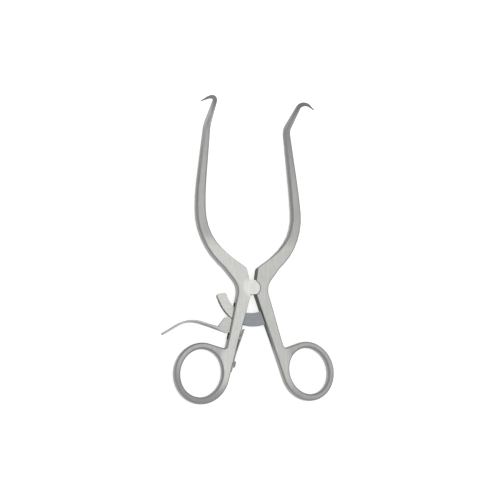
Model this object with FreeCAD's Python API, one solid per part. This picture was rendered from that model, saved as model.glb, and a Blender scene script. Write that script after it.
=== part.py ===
# Self retaining retractor with two ring handles, a toothed ratchet bar and a thumb release.
#
# Frame, in millimetres: the origin is on the pivot axis, in the plane that the closed
# instrument lies on. +Y runs from the pivot to the prongs, +Z out of that plane towards the
# side that the prongs rise to, and +X to the arm that carries the ratchet bar.
# The arms are drawn as they stand in use, half open. Both start from one forged blank, and
# the left blank is the mirror image of the right one.
#
# Rolled edges are cut as three narrow flats that touch the round of the given radius.
import FreeCAD
import Part
import math
import os

V = FreeCAD.Vector

# Stock and edges
body_thickness = 5.6
ring_thickness = 5.0
face_edge_round = 0.5
side_edge_round = 1.3
handle_edge_round = 1.55
ring_hole_edge_round = 1.7
square_length = 2.5
square_round = 20.0

# Box lap and pivot
lap_radius = 5.0
lap_wall_clearance = 0.12
lap_face_clearance = 0.05
lap_heel_depth = 4.2
pivot_radius = 1.5
pivot_head_radius = 2.15
pivot_head_depth = 0.6
pivot_running_clearance = 0.03

# Shoulders above the lap
neck_gap_half = 2.05
neck_start = 3.5
neck_lean = 11.0
shoulder_height = 12.7
shoulder_round = 2.2
waist_round = 11.0

# Finger rings
ring_reach = 61.2
ring_outer_major = 18.9
ring_outer_minor = 17.9
ring_outer_end = 17.2
ring_hole_major = 14.8
ring_hole_minor = 13.3
ring_hole_end = 12.4
ring_hole_shift = 0.48
ring_lean = 20.5
crotch_slope = 18.0
crotch_round = 1.8

# Shanks, from the lap down to the rings
shank_inner_offset = 0.59
shank_inner_lean = 17.1
shank_outer_offset = 9.29
shank_outer_lean = 14.7
shank_start = 11.5
shank_end = ring_reach - 25.2

# Arms, from the shoulders up to the prongs, by their places out from the pivot, up and lifted
arm_lean = 41.0
arm_side_lean = 50.0
elbow_out = 33.3
elbow_up = 30.8
elbow_round = 40.0
elbow_pieces = 6
sweep_out = 32.45
sweep_up = 60.5
sweep_round = 150.0
sweep_pieces = 3
kink_out = 27.5
kink_up = 104.0
kink_lift = 3.45
kink_round = 6.0
kink_pieces = 4
hook_out = 28.8
hook_up = 117.2
hook_lift = 28.3
hook_round = 4.0
hook_pieces = 6
tip_out = 38.6
tip_up = 112.55
tip_lift = 24.3
arm_root_run = 19.8
arm_root_width = 8.6
elbow_width = 7.4
elbow_depth = 5.5
elbow_roundness = 0.7
sweep_width = 6.7
sweep_depth = 5.2
kink_width = 4.7
kink_depth = 4.3
hook_width = 2.6
point_width = 0.5
arm_roundness = 0.86

# Ratchet bar
bar_thickness = 2.6
bar_outer_radius = 24.4
bar_inner_radius = bar_outer_radius - 5.7
bar_inner_left = 2.0
bar_inner_up = 2.7
bar_free_angle = 9.3
bar_corner_round = 1.4
bar_tang_depth = 5.0
tooth_pitch = 2.5
tooth_depth = 0.45
tooth_first = 17.0
tooth_count = 26
bar_rivet_radius = 0.8
bar_rivet_first = bar_outer_radius - 6.2
bar_rivet_spacing = 4.6
bar_rivet_depth = 2.9

# Slot through the left shank
slot_side_clearance = 0.15
slot_start = bar_outer_radius - 11.8
slot_end = bar_outer_radius + 11.8
slot_corner_round = 0.4

# Release lever; the places in it are measured from its pin, left and up
lever_pin_drop = bar_outer_radius + 4.0
lever_pin_inset = 3.7
lever_pin_radius = 1.0
lever_pin_clearance = 0.04
lever_boss_radius = 2.5
nose_clearance = 0.06
nose_teeth = 2
nose_first = 47.1
nose_heel_angle = 60.0
nose_heel_round = 0.6
nose_throat_round = 1.0
block_round = 0.8
block_foot_round = 1.5
block_shelf_round = 1.2
block_foot_share = 0.6
block_heel_left = 6.1
block_heel_up = -2.5
block_chin_left = 12.5
block_chin_up = -0.3
block_shelf_left = 10.0
block_shelf_up = 3.2
block_brow_left = 6.7
block_brow_up = 7.0
thumb_root_left = 9.9
thumb_root_up = -0.1
thumb_crest_left = 30.7
thumb_crest_up = 6.6
thumb_tip_left = 47.5
thumb_tip_up = -2.9
thumb_round = 19.0
thumb_root_thickness = 2.4
thumb_thickness = 1.35
thumb_tip_thickness = 1.0
thumb_width = 5.2
thumb_flare_length = 8.9
thumb_edge = 0.7
thumb_pieces = 6
tail_drop = lever_pin_drop + 5.0
tail_round = 0.9
tail_heel_round = 0.8
tail_clearance = 0.03

# Leaf spring and its screw
leaf_thickness = 0.7
leaf_width = 3.2
leaf_seat_depth = 0.2
leaf_low_end = ring_reach - 6.0
leaf_bend = ring_reach - 17.2
leaf_free_end = lever_pin_drop - 1.4
leaf_lift = 1.45
leaf_bend_round = 60.0
leaf_hole_clearance = 0.1
leaf_seat_run = 2.2
spring_screw_drop = ring_reach - 11.2
spring_screw_radius = 1.0
spring_screw_length = 3.4
spring_screw_head_radius = 2.15
spring_screw_head_height = 1.35
spring_screw_slot_width = 0.5
spring_screw_slot_depth = 0.55
spring_screw_head_edge = 0.3

reach_past = 5.0
touching = 1e-6
cut_pick = 0.1
mid_plane = body_thickness / 2
flat_turn = math.pi / 8
up = V(0, 0, 1)


def heading(degrees):
    """Unit vector in the flat plane, turned from +X."""
    angle = math.radians(degrees)
    return V(math.cos(angle), math.sin(angle), 0)


def polar(radius, degrees):
    """Point on the left of the pivot, its angle measured down from -X."""
    return heading(180 + degrees) * radius


def meet(point_a, heading_a, point_b, heading_b):
    """Point where two straight lines in the flat plane cross."""
    cross = heading_a.x * heading_b.y - heading_a.y * heading_b.x
    gap = point_b - point_a
    return point_a + heading_a * ((gap.x * heading_b.y - gap.y * heading_b.x) / cross)


def rounded_corner(before, corner, after, radius):
    """Start, middle and end of the arc that rounds a corner."""
    back = (before - corner).normalize()
    ahead = (after - corner).normalize()
    half_turn = (math.pi - back.getAngle(ahead)) / 2
    run = radius * math.tan(half_turn)
    bisector = (back + ahead).normalize()
    middle = corner + bisector * (radius / math.cos(half_turn) - radius)
    return corner + back * run, middle, corner + ahead * run


def rounded_outline(corners):
    """Closed wire through (point, radius) corners, with an arc where the radius isn't zero."""
    points = [corner[0] for corner in corners]
    ends = []
    for i, (point, radius) in enumerate(corners):
        if radius:
            ends.append(rounded_corner(points[i - 1], point, points[(i + 1) % len(points)], radius))
        else:
            ends.append((point, None, point))
    edges = []
    for i, (start, middle, end) in enumerate(ends):
        if middle:
            edges.append(Part.Arc(start, middle, end).toShape())
        following = ends[(i + 1) % len(ends)][0]
        if end.distanceToPoint(following) > 1e-6:
            edges.append(Part.LineSegment(end, following).toShape())
    return Part.Wire(edges)


def plate(outline, low, high):
    """Solid between two heights."""
    face = Part.Face(outline)
    return face.extrude(up * (high - low)).translated(up * low)


def cylinder(radius, base, axis, length):
    """Round bar from base along axis."""
    return Part.makeCylinder(radius, length, base, axis)


def mirrored(shape):
    """The left hand twin of a right hand shape."""
    return shape.mirror(V(0, 0, 0), V(1, 0, 0))


def mirrored_point(point):
    """The left hand twin of a point or heading."""
    return V(-point.x, point.y, point.z)


shank_down = heading(shank_inner_lean - 90)
shank_inward = heading(180 + shank_inner_lean)
shank_foot = shank_inward * -shank_inner_offset
outer_down = heading(shank_outer_lean - 90)
outer_foot = heading(shank_outer_lean) * shank_outer_offset
shank_axis = (shank_down + outer_down).normalize()
shank_across = heading((shank_inner_lean + shank_outer_lean) / 2)


def shank_point(drop, depth):
    """Point on the right shank, by its drop below the pivot and its depth behind the inner face."""
    return shank_foot + shank_down * drop - shank_inward * depth


def left_shank_point(drop, depth):
    """The same point on the left shank."""
    return mirrored_point(shank_point(drop, depth))


def shank_cut(drop):
    """Inner and outer corner of the shank where a square cut crosses it."""
    inner = shank_point(drop, 0)
    outer = meet(inner, shank_across, outer_foot, outer_down)
    return inner, outer


def section(centre, ahead, side, width, depth, near_round, far_round):
    """Rectangle with rolled corners across a bar: near is the side that faces the other arm."""
    lift = side.cross(ahead).normalize()
    points = []
    signs = ((1, -1, far_round), (1, 1, far_round), (-1, 1, near_round), (-1, -1, near_round))
    for sign_side, sign_lift, radius in signs:
        out = side * sign_side
        high = lift * sign_lift
        middle = centre + out * (width / 2 - radius) + high * (depth / 2 - radius)
        turns = [flat_turn * (i + 0.5) for i in range(4)]
        if sign_side != sign_lift:
            turns.reverse()
        reach = radius / math.cos(flat_turn / 2)
        for turn in turns:
            points.append(middle + (out * math.cos(turn) + high * math.sin(turn)) * reach)
    return Part.makePolygon(points + points[:1])


def level_edges(solid, heights, picks):
    """Edges that run level at one of the heights and whose middle a test picks in plan."""
    edges = []
    for edge in solid.Edges:
        middle = edge.valueAt((edge.FirstParameter + edge.LastParameter) / 2)
        start = edge.Vertexes[0].Point
        at_height = min(abs(middle.z - height) for height in heights) < touching
        if at_height and abs(start.z - middle.z) < touching and picks(V(middle.x, middle.y, 0)):
            edges.append(edge)
    return edges


def rolled_faces(solid, low, high, radius, picks):
    """Rolls the edges of a plate's two faces whose middle a test picks.

    The middle flat is cut first, then its two edges."""
    middle_cut = radius * (2 - math.sqrt(2))
    side_cut = radius * (1 - math.tan(flat_turn / 2)) - middle_cut
    solid = solid.makeChamfer(middle_cut, level_edges(solid, (low, high), picks))
    heights = (low, high, low + middle_cut, high - middle_cut)
    return solid.makeChamfer(side_cut, level_edges(solid, heights, picks))


def arm_root():
    """Centre of the square cut where the arm leaves the shoulder, and its two corners."""
    centre = V(elbow_out, elbow_up, 0) - heading(arm_lean) * arm_root_run
    half = heading(arm_lean - 90) * (arm_root_width / 2)
    return centre, centre - half, centre + half


def body_plate():
    """Flat part round the lap: shoulder, waist and the head of the shank."""
    root, root_inner, root_outer = arm_root()
    shank_inner, shank_outer = shank_cut(shank_start)
    shank_middle = (shank_inner + shank_outer) / 2
    heel = meet(shank_foot, shank_down, V(0, -lap_heel_depth, 0), V(1, 0, 0))
    neck_foot = V(neck_gap_half, neck_start, 0)
    shoulder = meet(neck_foot, heading(90 - neck_lean), V(0, shoulder_height, 0), V(1, 0, 0))
    waist = meet(root_outer, heading(arm_side_lean), outer_foot, outer_down)
    square_in = heading(arm_lean) * -square_length
    solid = plate(rounded_outline([
        (heel, 0),
        (shank_inner - shank_axis * square_length, square_round),
        (shank_inner, 0),
        (shank_outer, 0),
        (shank_outer - shank_axis * square_length, square_round),
        (waist, waist_round),
        (root_outer + square_in, square_round),
        (root_outer, 0),
        (root_inner, 0),
        (root_inner + square_in, square_round),
        (shoulder, shoulder_round),
        (neck_foot, 0),
    ]), 0, body_thickness)
    spine = (root - shank_middle).normalize()

    def off_spine(point):
        return (point - shank_middle).cross(spine).z

    def outer_side(point):
        return off_spine(point) > face_edge_round

    def inner_side(point):
        return off_spine(point) < -face_edge_round and point.Length > lap_radius

    solid = rolled_faces(solid, 0, body_thickness, side_edge_round, outer_side)
    return rolled_faces(solid, 0, body_thickness, face_edge_round, inner_side)


def shank_bar():
    """Shank between the waist and the ring, thinning and growing rounder on the way down."""
    wires = []
    stations = (
        (shank_start, body_thickness, face_edge_round, side_edge_round),
        (shank_end, ring_thickness, handle_edge_round, handle_edge_round),
    )
    for drop, depth, near_round, far_round in stations:
        inner, outer = shank_cut(drop)
        middle = (inner + outer) / 2 + up * mid_plane
        width = inner.distanceToPoint(outer)
        wires.append(section(middle, shank_axis * -1, shank_across, width, depth, near_round, far_round))
    return Part.makeLoft(wires, True, True)


def arc(centre, radius, start, end):
    """Arc in the flat plane between two headings in degrees, anticlockwise."""
    points = [centre + heading(degrees) * radius for degrees in (start, (start + end) / 2, end)]
    return Part.Arc(*points).toShape()


def oval_arcs(centre, lean, half_long, half_short, end_round, start, end):
    """Run of an oval drawn with four arcs, between two outward headings in degrees.

    Its long half axis leans that many degrees back from +Y."""
    reach = half_long - end_round
    side_round = (reach ** 2 + half_short ** 2 - end_round ** 2) / (2 * (half_short - end_round))
    swing = math.degrees(math.atan2(reach, side_round - half_short))
    edges = []
    for quarter in range(-1, 6):
        facing = lean + 90 * quarter
        half_swing = 90 - swing if quarter % 2 else swing
        first = max(start, facing - half_swing)
        last = min(end, facing + half_swing)
        if last - first > 1e-6:
            shift = reach if quarter % 2 else half_short - side_round
            radius = end_round if quarter % 2 else side_round
            edges.append(arc(centre + heading(facing) * shift, radius, first, last))
    return edges


def off_oval(point, centre, lean, half_long, half_short):
    """Roughly how far outside an oval a point lies."""
    along = (point - centre).dot(heading(90 + lean)) / half_long
    across = (point - centre).dot(heading(lean)) / half_short
    return (math.hypot(along, across) - 1) * half_short


def ring_plate():
    """Finger ring with the foot of the shank, and the web that fills the crotch between them."""
    inward = 180 + shank_inner_lean
    centre = shank_foot + shank_down * ring_reach - shank_inward * ring_outer_minor
    rim = oval_arcs(centre, ring_lean, ring_outer_major, ring_outer_minor, ring_outer_end,
                    inward, 360 + 90 + crotch_slope)
    on_shank = rim[0].Vertexes[0].Point
    on_crotch = rim[-1].Vertexes[-1].Point
    shank_inner, shank_outer = shank_cut(shank_end)
    square_in = shank_axis * square_length
    crotch = meet(on_crotch, heading(crotch_slope), outer_foot, outer_down)
    before, inner_turn, after = rounded_corner(shank_inner, shank_inner + square_in, on_shank, square_round)
    arc_in, arc_middle, arc_out = rounded_corner(on_crotch, crotch, shank_outer + square_in, crotch_round)
    leave, outer_turn, arrive = rounded_corner(arc_out, shank_outer + square_in, shank_outer, square_round)
    outline = Part.Wire([
        Part.LineSegment(shank_inner, before).toShape(),
        Part.Arc(before, inner_turn, after).toShape(),
        Part.LineSegment(after, on_shank).toShape(),
    ] + rim + [
        Part.LineSegment(on_crotch, arc_in).toShape(),
        Part.Arc(arc_in, arc_middle, arc_out).toShape(),
        Part.LineSegment(arc_out, leave).toShape(),
        Part.Arc(leave, outer_turn, arrive).toShape(),
        Part.LineSegment(arrive, shank_outer).toShape(),
        Part.LineSegment(shank_outer, shank_inner).toShape(),
    ])
    low = mid_plane - ring_thickness / 2
    high = mid_plane + ring_thickness / 2
    solid = plate(outline, low, high)
    cut_middle = (shank_inner + shank_outer) / 2

    hole_centre = centre - shank_inward * ring_hole_shift

    def at_hole(point):
        off_hole = off_oval(point, hole_centre, ring_lean, ring_hole_major, ring_hole_minor)
        off_rim = off_oval(point, centre, ring_lean, ring_outer_major, ring_outer_minor)
        return off_hole < -off_rim

    def outside(point):
        return point.distanceToPoint(cut_middle) > cut_pick and not at_hole(point)

    solid = rolled_faces(solid, low, high, handle_edge_round, outside)
    hole = oval_arcs(hole_centre, ring_lean, ring_hole_major, ring_hole_minor, ring_hole_end, 0, 360)
    solid = solid.cut(plate(Part.Wire(hole), low - reach_past, high + reach_past))
    return rolled_faces(solid, low, high, ring_hole_edge_round, at_hole)


def bent_path(points, bends):
    """Path of straight runs and (radius, pieces) bends, as spans of (run, point, heading) stations.

    Also gives the run to the middle of each bend."""
    spans = []
    middles = []
    run = 0.0
    here = points[0]
    for i, (radius, pieces) in enumerate(bends):
        start, middle, end = rounded_corner(points[i], points[i + 1], points[i + 2], radius)
        ahead = (start - here).normalize()
        bend_run = run + start.distanceToPoint(here)
        spans.append([(run, here, ahead), (bend_run, start, ahead)])
        bend = Part.Arc(start, middle, end)
        length = bend.length()
        stations = []
        for piece in range(pieces + 1):
            at = bend.parameterAtDistance(length * piece / pieces, bend.FirstParameter)
            tangent = V(*bend.tangent(at)[0]).normalize()
            stations.append((bend_run + length * piece / pieces, bend.value(at), tangent))
        spans.append(stations)
        middles.append(bend_run + length / 2)
        run = bend_run + length
        here = end
    ahead = (points[-1] - here).normalize()
    spans.append([(run, here, ahead), (run + points[-1].distanceToPoint(here), points[-1], ahead)])
    return spans, middles


def between(run, table):
    """Values at a run along the arm, straight between the entries of a table by run."""
    for (run_a, low), (run_b, high) in zip(table, table[1:]):
        if run <= run_b:
            share = (run - run_a) / (run_b - run_a)
            return [a + (b - a) * share for a, b in zip(low, high)]
    return table[-1][1]


def lofted(spans, table, side):
    """Bar along a path: the table gives width, depth and both roundnesses by run."""
    lofts = []
    for span in spans:
        wires = []
        for run, point, ahead in span:
            side = (side - ahead * side.dot(ahead)).normalize()
            width, depth, near, far = between(run, table)
            full = min(width, depth) / 2
            wires.append(section(point, ahead, side, width, depth, near * full, far * full))
        lofts.append(Part.makeLoft(wires, True, True))
    return lofts[0].multiFuse(lofts[1:])


def arm_bar():
    """Arm from the shoulder to the point of the prong."""
    points = [
        arm_root()[0],
        V(elbow_out, elbow_up, 0),
        V(sweep_out, sweep_up, 0),
        V(kink_out, kink_up, kink_lift),
        V(hook_out, hook_up, hook_lift),
        V(tip_out, tip_up, tip_lift),
    ]
    bends = [
        (elbow_round, elbow_pieces),
        (sweep_round, sweep_pieces),
        (kink_round, kink_pieces),
        (hook_round, hook_pieces),
    ]
    spans, middles = bent_path([point + up * mid_plane for point in points], bends)
    root_near = 2 * face_edge_round / body_thickness
    root_far = 2 * side_edge_round / body_thickness
    table = (
        (0.0, (arm_root_width, body_thickness, root_near, root_far)),
        (middles[0], (elbow_width, elbow_depth, elbow_roundness, elbow_roundness)),
        (middles[1], (sweep_width, sweep_depth, arm_roundness, arm_roundness)),
        (middles[2], (kink_width, kink_depth, arm_roundness, arm_roundness)),
        (middles[3], (hook_width, hook_width, arm_roundness, arm_roundness)),
        (spans[-1][-1][0], (point_width, point_width, arm_roundness, arm_roundness)),
    )
    return lofted(spans, table, heading(arm_lean - 90))


def arm_blank():
    """Forging that both arms start from, right hand, before the lap is cut."""
    return body_plate().multiFuse([shank_bar(), ring_plate(), arm_bar()]).removeSplitter().Solids[0]


def lap(low, high):
    """Half thickness disc of the lap, cut straight across at the heel."""
    disc = cylinder(lap_radius, up * low, up, high - low)
    below = Part.makeBox(2 * lap_radius, lap_radius, high - low,
                         V(-lap_radius, -lap_heel_depth - lap_radius, low))
    return disc.cut(below)


def lap_recess(low, high):
    """Round recess that the other arm's disc turns in."""
    return cylinder(lap_radius + lap_wall_clearance, up * low, up, high - low)


def pivot(clearance):
    """Pivot pin with a countersunk head flush with each face, or its hole when given a clearance."""
    shaft = pivot_radius + clearance
    head = pivot_head_radius + clearance
    profile = Part.makePolygon([
        V(0, 0, 0),
        V(head, 0, 0),
        V(shaft, 0, pivot_head_depth),
        V(shaft, 0, body_thickness - pivot_head_depth),
        V(head, 0, body_thickness),
        V(0, 0, body_thickness),
        V(0, 0, 0),
    ])
    return Part.Face(profile).revolve(V(0, 0, 0), up, 360)


def through(point, radius):
    """Round bar or hole along Z, longer than the instrument is thick."""
    return cylinder(radius, point - up * reach_past, up, body_thickness + 2 * reach_past)


def shank_slot():
    """Slot through the left shank for the ratchet bar and the lever."""
    middle = left_shank_point((slot_start + slot_end) / 2, -reach_past) + up * mid_plane
    through_shank = mirrored_point(shank_inward) * -1
    width = bar_thickness + 2 * slot_side_clearance
    along = mirrored_point(shank_down)
    opening = section(middle, through_shank, along, slot_end - slot_start, width,
                      slot_corner_round, slot_corner_round)
    return Part.Face(opening).extrude(through_shank * (shank_outer_offset + 2 * reach_past))


def bar_blank():
    """Ratchet bar before its teeth, from the free end to the end of its tang."""
    free = heading(180 + bar_free_angle)
    far = 3 * bar_outer_radius
    low = mid_plane - bar_thickness / 2
    inner_centre = V(-bar_inner_left, bar_inner_up, low)
    reach = Part.makePolygon([
        V(0, 0, 0),
        free * far,
        polar(far, 45),
        shank_point(far, bar_tang_depth),
        shank_point(0, bar_tang_depth),
        V(0, 0, 0),
    ])
    bar = cylinder(bar_outer_radius, up * low, up, bar_thickness)
    bar = bar.cut(cylinder(bar_inner_radius, inner_centre, up, bar_thickness))
    bar = bar.common(plate(reach, low, low + bar_thickness))
    corners = []
    for edge in bar.Edges:
        start = edge.Vertexes[0].Point
        end = edge.Vertexes[-1].Point
        upright = abs(abs(start.z - end.z) - bar_thickness) < 1e-6
        if upright and abs(V(start.x, start.y, 0).cross(free).z) < 1e-6:
            corners.append(edge)
    return bar.makeFillet(bar_corner_round, corners)


def tooth_gap(degrees):
    """Wedge between two teeth: a steep face towards the tang, a slope towards the free end."""
    foot = polar(bar_outer_radius - tooth_depth, degrees)
    crest = polar(bar_outer_radius, degrees + tooth_pitch)
    beyond = polar(bar_outer_radius + tooth_depth, degrees)
    outline = Part.makePolygon([foot, crest, beyond, foot])
    return plate(outline, -reach_past, body_thickness + reach_past)


def ratchet_bar():
    """Toothed bar, its tang let into the right shank and held by two rivets."""
    bar = bar_blank().cut([tooth_gap(tooth_first + i * tooth_pitch) for i in range(tooth_count)])
    return bar.cut(rivet_bars())


def rivet_bars():
    """Full length bars on the axes of the two rivets."""
    drops = (bar_rivet_first, bar_rivet_first + bar_rivet_spacing)
    return [through(shank_point(drop, bar_rivet_depth), bar_rivet_radius) for drop in drops]


def lever_pin_axis():
    """Foot of the release lever's pin, in the left shank."""
    return left_shank_point(lever_pin_drop, lever_pin_inset)


def leaf_height(drop):
    """How far the underside of the leaf spring stands off the shank's inner face."""
    share = (leaf_bend - drop) / (leaf_bend - leaf_free_end)
    return (leaf_lift + leaf_seat_depth) * max(share, 0) - leaf_seat_depth


def leaf_spring():
    """Leaf that lies on the left shank under its screw and leans up against the lever's tail."""
    corners = []
    under = [(leaf_low_end, 0), (leaf_bend, leaf_bend_round), (leaf_free_end, 0)]
    for drop, radius in under:
        corners.append((left_shank_point(drop, -leaf_height(drop)), radius))
    for drop, radius in reversed(under):
        corners.append((left_shank_point(drop, -leaf_height(drop) - leaf_thickness), radius))
    low = mid_plane - leaf_width / 2
    leaf = plate(rounded_outline(corners), low, low + leaf_width)
    return leaf.cut(screw_shaft(spring_screw_radius + leaf_hole_clearance))


def leaf_seat():
    """Shallow flat milled into the shank where the leaf is screwed down."""
    start = left_shank_point(leaf_bend - leaf_seat_run, leaf_seat_depth)
    end = left_shank_point(leaf_low_end + leaf_seat_depth, leaf_seat_depth)
    out = mirrored_point(shank_inward) * reach_past
    outline = Part.makePolygon([start, end, end + out, start + out, start])
    return plate(outline, -reach_past, body_thickness + reach_past)


def screw_shaft(radius):
    """Shaft of the spring's screw, from the top of the leaf into the shank."""
    top = left_shank_point(spring_screw_drop, -leaf_thickness + leaf_seat_depth) + up * mid_plane
    into = mirrored_point(shank_inward) * -1
    return cylinder(radius, top, into, spring_screw_length + leaf_thickness)


def spring_screw():
    """Slotted cheese head screw of the leaf spring."""
    top = left_shank_point(spring_screw_drop, -leaf_thickness + leaf_seat_depth) + up * mid_plane
    out = mirrored_point(shank_inward)
    head = cylinder(spring_screw_head_radius, top, out, spring_screw_head_height)
    crown = top + out * spring_screw_head_height
    rim = [edge for edge in head.Edges if edge.CenterOfMass.distanceToPoint(crown) < 1e-6]
    head = head.makeChamfer(spring_screw_head_edge, rim)
    across = out.cross(up)
    foot = crown - out * spring_screw_slot_depth
    corners = [foot + across * (spring_screw_slot_width / 2 * i) + up * (spring_screw_head_radius * 2 * j)
               for i, j in ((1, 1), (1, -1), (-1, -1), (-1, 1))]
    slot = Part.Face(Part.makePolygon(corners + corners[:1])).extrude(out * spring_screw_head_height)
    return head.cut(slot).fuse(screw_shaft(spring_screw_radius)).removeSplitter()


def from_lever_pin(left, rise):
    """Point in the flat plane by its place left of the lever's pin and above it."""
    return lever_pin_axis() + V(-left, rise, 0)


def lever_web():
    """Flat part of the lever: pawl nose, boss, tail and the block that carries the thumb piece."""
    near = bar_outer_radius + nose_clearance
    far = near + tooth_depth
    corners = [(polar(far, nose_first), 0)]
    for i in range(nose_teeth):
        at = nose_first + i * tooth_pitch
        corners.append((polar(near, at), 0))
        corners.append((polar(far, at + tooth_pitch), 0))
    pin = lever_pin_axis()
    tail = tail_centre()
    inward = mirrored_point(shank_inward)
    along = mirrored_point(shank_down)
    corners += [
        (polar(far, nose_heel_angle), nose_heel_round),
        (pin + inward * lever_boss_radius, nose_throat_round),
        (tail + inward * tail_round, 0),
        (tail + along * tail_round, 0),
        (tail - inward * tail_round + along * tail_round, tail_heel_round),
        (pin + (along - inward * block_foot_share) * lever_boss_radius, block_foot_round),
        (from_lever_pin(block_heel_left, block_heel_up), block_round),
        (from_lever_pin(block_chin_left, block_chin_up), block_round),
        (from_lever_pin(block_shelf_left, block_shelf_up), block_shelf_round),
        (from_lever_pin(block_brow_left, block_brow_up), block_round),
    ]
    low = mid_plane - bar_thickness / 2
    web = plate(rounded_outline(corners), low, low + bar_thickness)
    boss = cylinder(lever_boss_radius, pin + up * low, up, bar_thickness)
    tip = cylinder(tail_round, tail + up * low, up, bar_thickness)
    return web.multiFuse([boss, tip])


def tail_centre():
    """Centre of the rounded end of the lever's tail, just under the leaf spring."""
    lean = math.atan2(leaf_lift + leaf_seat_depth, leaf_bend - leaf_free_end)
    below = (tail_round + tail_clearance) / math.cos(lean)
    return left_shank_point(tail_drop, below - leaf_height(tail_drop))


def thumb_piece():
    """Thumb piece: a strip that flares out of the block, arches over and droops to its tip."""
    root = from_lever_pin(thumb_root_left, thumb_root_up) + up * mid_plane
    crest = from_lever_pin(thumb_crest_left, thumb_crest_up) + up * mid_plane
    tip = from_lever_pin(thumb_tip_left, thumb_tip_up) + up * mid_plane
    ahead = (crest - root).normalize()
    flare_end = root + ahead * thumb_flare_length
    spans, _ = bent_path([flare_end, crest, tip], [(thumb_round, thumb_pieces)])
    flare = [(-thumb_flare_length, root, ahead), (0.0, flare_end, ahead)]
    table = (
        (-thumb_flare_length, (bar_thickness, thumb_root_thickness, thumb_edge, thumb_edge)),
        (0.0, (thumb_width, thumb_thickness, thumb_edge, thumb_edge)),
        (spans[-1][-1][0], (thumb_width, thumb_tip_thickness, thumb_edge, thumb_edge)),
    )
    return lofted([flare] + spans, table, up)


def release_lever():
    """One piece lever: pawl, tail and thumb piece, bored for its pin."""
    lever = lever_web().fuse(thumb_piece()).removeSplitter()
    return lever.cut(through(lever_pin_axis(), lever_pin_radius + lever_pin_clearance))


def left_arm(blank):
    """Arm with the front half of the lap, slotted for the bar and the lever."""
    split = mid_plane + lap_face_clearance / 2
    arm = blank.fuse(lap(split, body_thickness))
    arm = arm.cut([
        lap_recess(-reach_past, split),
        pivot(0),
        shank_slot(),
        leaf_seat(),
        screw_shaft(spring_screw_radius),
        through(lever_pin_axis(), lever_pin_radius),
    ])
    return arm.removeSplitter()


def right_arm(blank):
    """Arm with the back half of the lap and the mortise of the ratchet bar."""
    split = mid_plane - lap_face_clearance / 2
    arm = blank.fuse(lap(0, split))
    arm = arm.cut([
        lap_recess(split, body_thickness + reach_past),
        pivot(pivot_running_clearance),
        bar_blank(),
    ] + rivet_bars())
    return arm.removeSplitter()


right_blank = arm_blank()
left_blank = mirrored(right_blank)
nodes = {
    "left_arm": left_arm(left_blank),
    "right_arm": right_arm(right_blank),
    "pivot_pin": pivot(0),
    "ratchet_bar": ratchet_bar(),
    "bar_rivets": Part.makeCompound([rivet.common(right_blank) for rivet in rivet_bars()]),
    "release_lever": release_lever(),
    "lever_pin": through(lever_pin_axis(), lever_pin_radius).common(left_blank),
    "leaf_spring": leaf_spring(),
    "spring_screw": spring_screw(),
}

os.makedirs("parts", exist_ok=True)
for name, shape in nodes.items():
    shape.exportStep("parts/" + name + ".step")
    print(name, shape.isValid(), len(shape.Solids), "solids", round(shape.Volume, 2), "mm3")
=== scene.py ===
"""Looks of the self retaining retractor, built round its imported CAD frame.

Everything is in metres, in the frame of the CAD: +Y runs from the pivot to the prongs and +Z
is the side that the prongs rise to. The instrument lies on its back on a white sweep.
"""
import logging
import math
from dataclasses import dataclass
from enum import Enum
from typing import ClassVar

import bmesh
import bpy
from mathutils import Matrix, Vector


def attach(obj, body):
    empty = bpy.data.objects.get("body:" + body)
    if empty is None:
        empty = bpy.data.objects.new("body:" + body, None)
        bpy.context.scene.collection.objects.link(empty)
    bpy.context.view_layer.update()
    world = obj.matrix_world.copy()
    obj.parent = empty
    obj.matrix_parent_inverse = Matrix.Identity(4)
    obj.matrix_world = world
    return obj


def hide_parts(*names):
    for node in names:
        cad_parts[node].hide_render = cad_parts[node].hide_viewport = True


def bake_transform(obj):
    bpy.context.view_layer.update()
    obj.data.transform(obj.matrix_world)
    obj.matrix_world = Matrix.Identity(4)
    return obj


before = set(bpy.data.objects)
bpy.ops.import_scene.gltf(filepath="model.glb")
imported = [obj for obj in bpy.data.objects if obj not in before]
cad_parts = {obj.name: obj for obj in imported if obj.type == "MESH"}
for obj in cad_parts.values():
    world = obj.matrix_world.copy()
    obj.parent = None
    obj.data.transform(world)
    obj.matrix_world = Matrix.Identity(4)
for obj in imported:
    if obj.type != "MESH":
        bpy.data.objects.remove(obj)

MM = 0.001
# Points nearer than this are one point, and edges shorter than this are dissolved
DOUBLED = 0.0005 * MM
SLIVER = 0.0002 * MM
LOG = logging.getLogger("retractor")
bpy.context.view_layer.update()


class Body(Enum):
    """Rigid bodies of the frame that pieces ride on."""

    LEFT = "left_side"
    RIGHT = "right_side"
    LEVER = "lever"


class Grain(Enum):
    """Way that the finishing wheel or tool ran over a piece."""

    LENGTHWISE = "lengthwise"
    CROSSWISE = "crosswise"
    TURNED = "turned"


def linear(code: str) -> tuple[float, float, float, float]:
    """Turns an sRGB hex colour into linear light.

    Args:
        code: Colour such as "#c8c8c6".

    Returns:
        Linear red, green, blue and an alpha of 1.
    """
    channels = [int(code[i:i + 2], 16) / 255 for i in (1, 3, 5)]
    light = [c / 12.92 if c <= 0.04045 else ((c + 0.055) / 1.055) ** 2.4 for c in channels]
    return light[0], light[1], light[2], 1.0


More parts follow.
